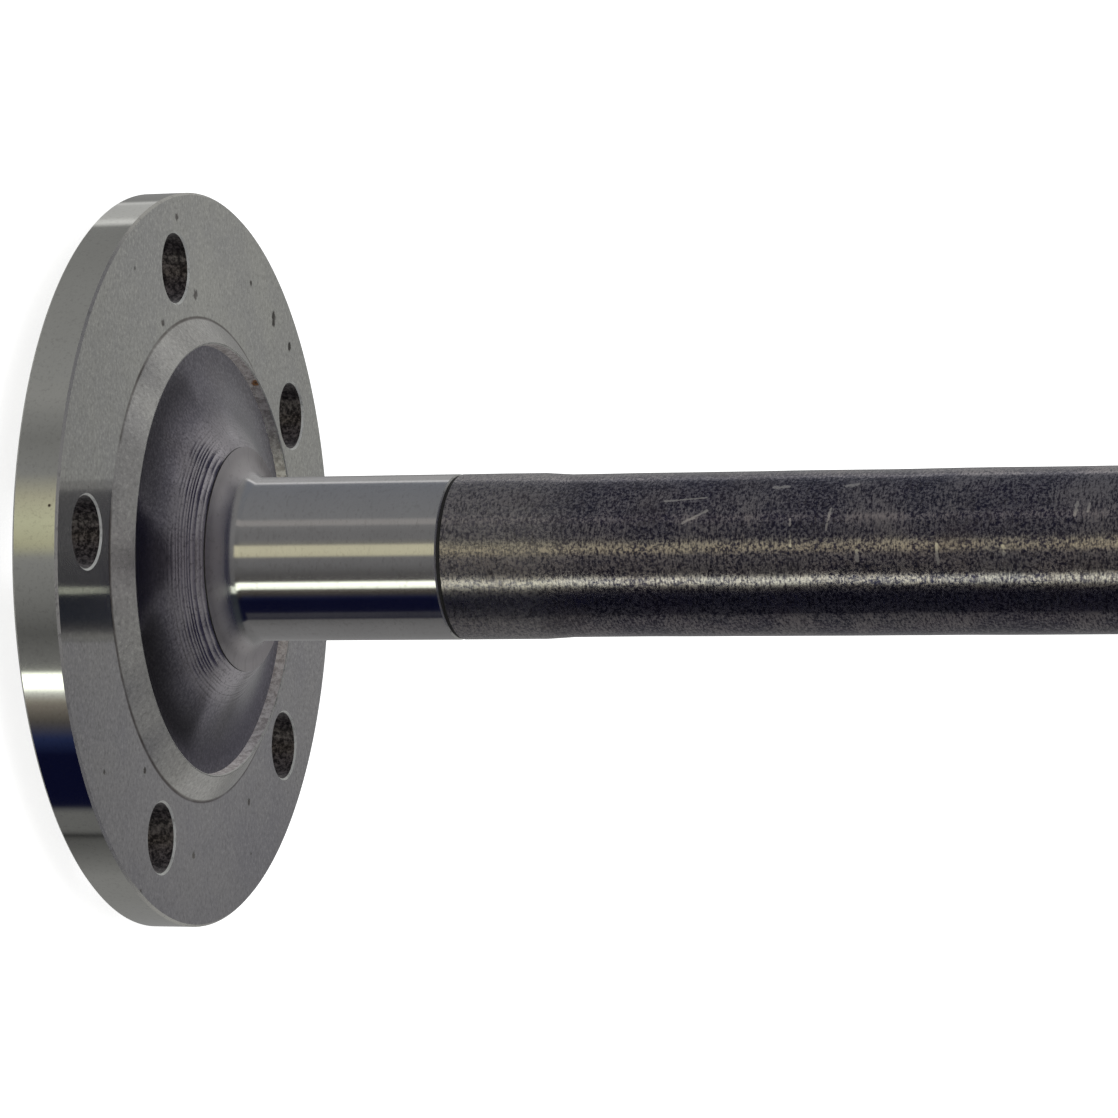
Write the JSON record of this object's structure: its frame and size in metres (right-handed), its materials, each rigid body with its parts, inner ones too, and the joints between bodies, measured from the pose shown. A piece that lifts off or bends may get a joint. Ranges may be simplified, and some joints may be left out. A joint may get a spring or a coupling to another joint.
{
  "type": "axle shaft",
  "caption": "Forged rear axle shaft: a drilled wheel flange on a flared hub, a ground bearing journal, a scaled bar, and a splined inner end with a lock groove.",
  "frame": {"origin": "centre of the wheel face, where the flange meets the wheel", "axes": "+Z along the axle line from the wheel face to the button end, -Y towards one stud hole"},
  "size_m": [0.1574, 0.1574, 0.82],
  "materials": {
    "axle_steel": "turned satin flange, ground journal, dark forging scale left on the collar and bar"
  },
  "bodies": {
    "root": {"axle_shaft": "axle_steel"}
  },
  "joints": []
}
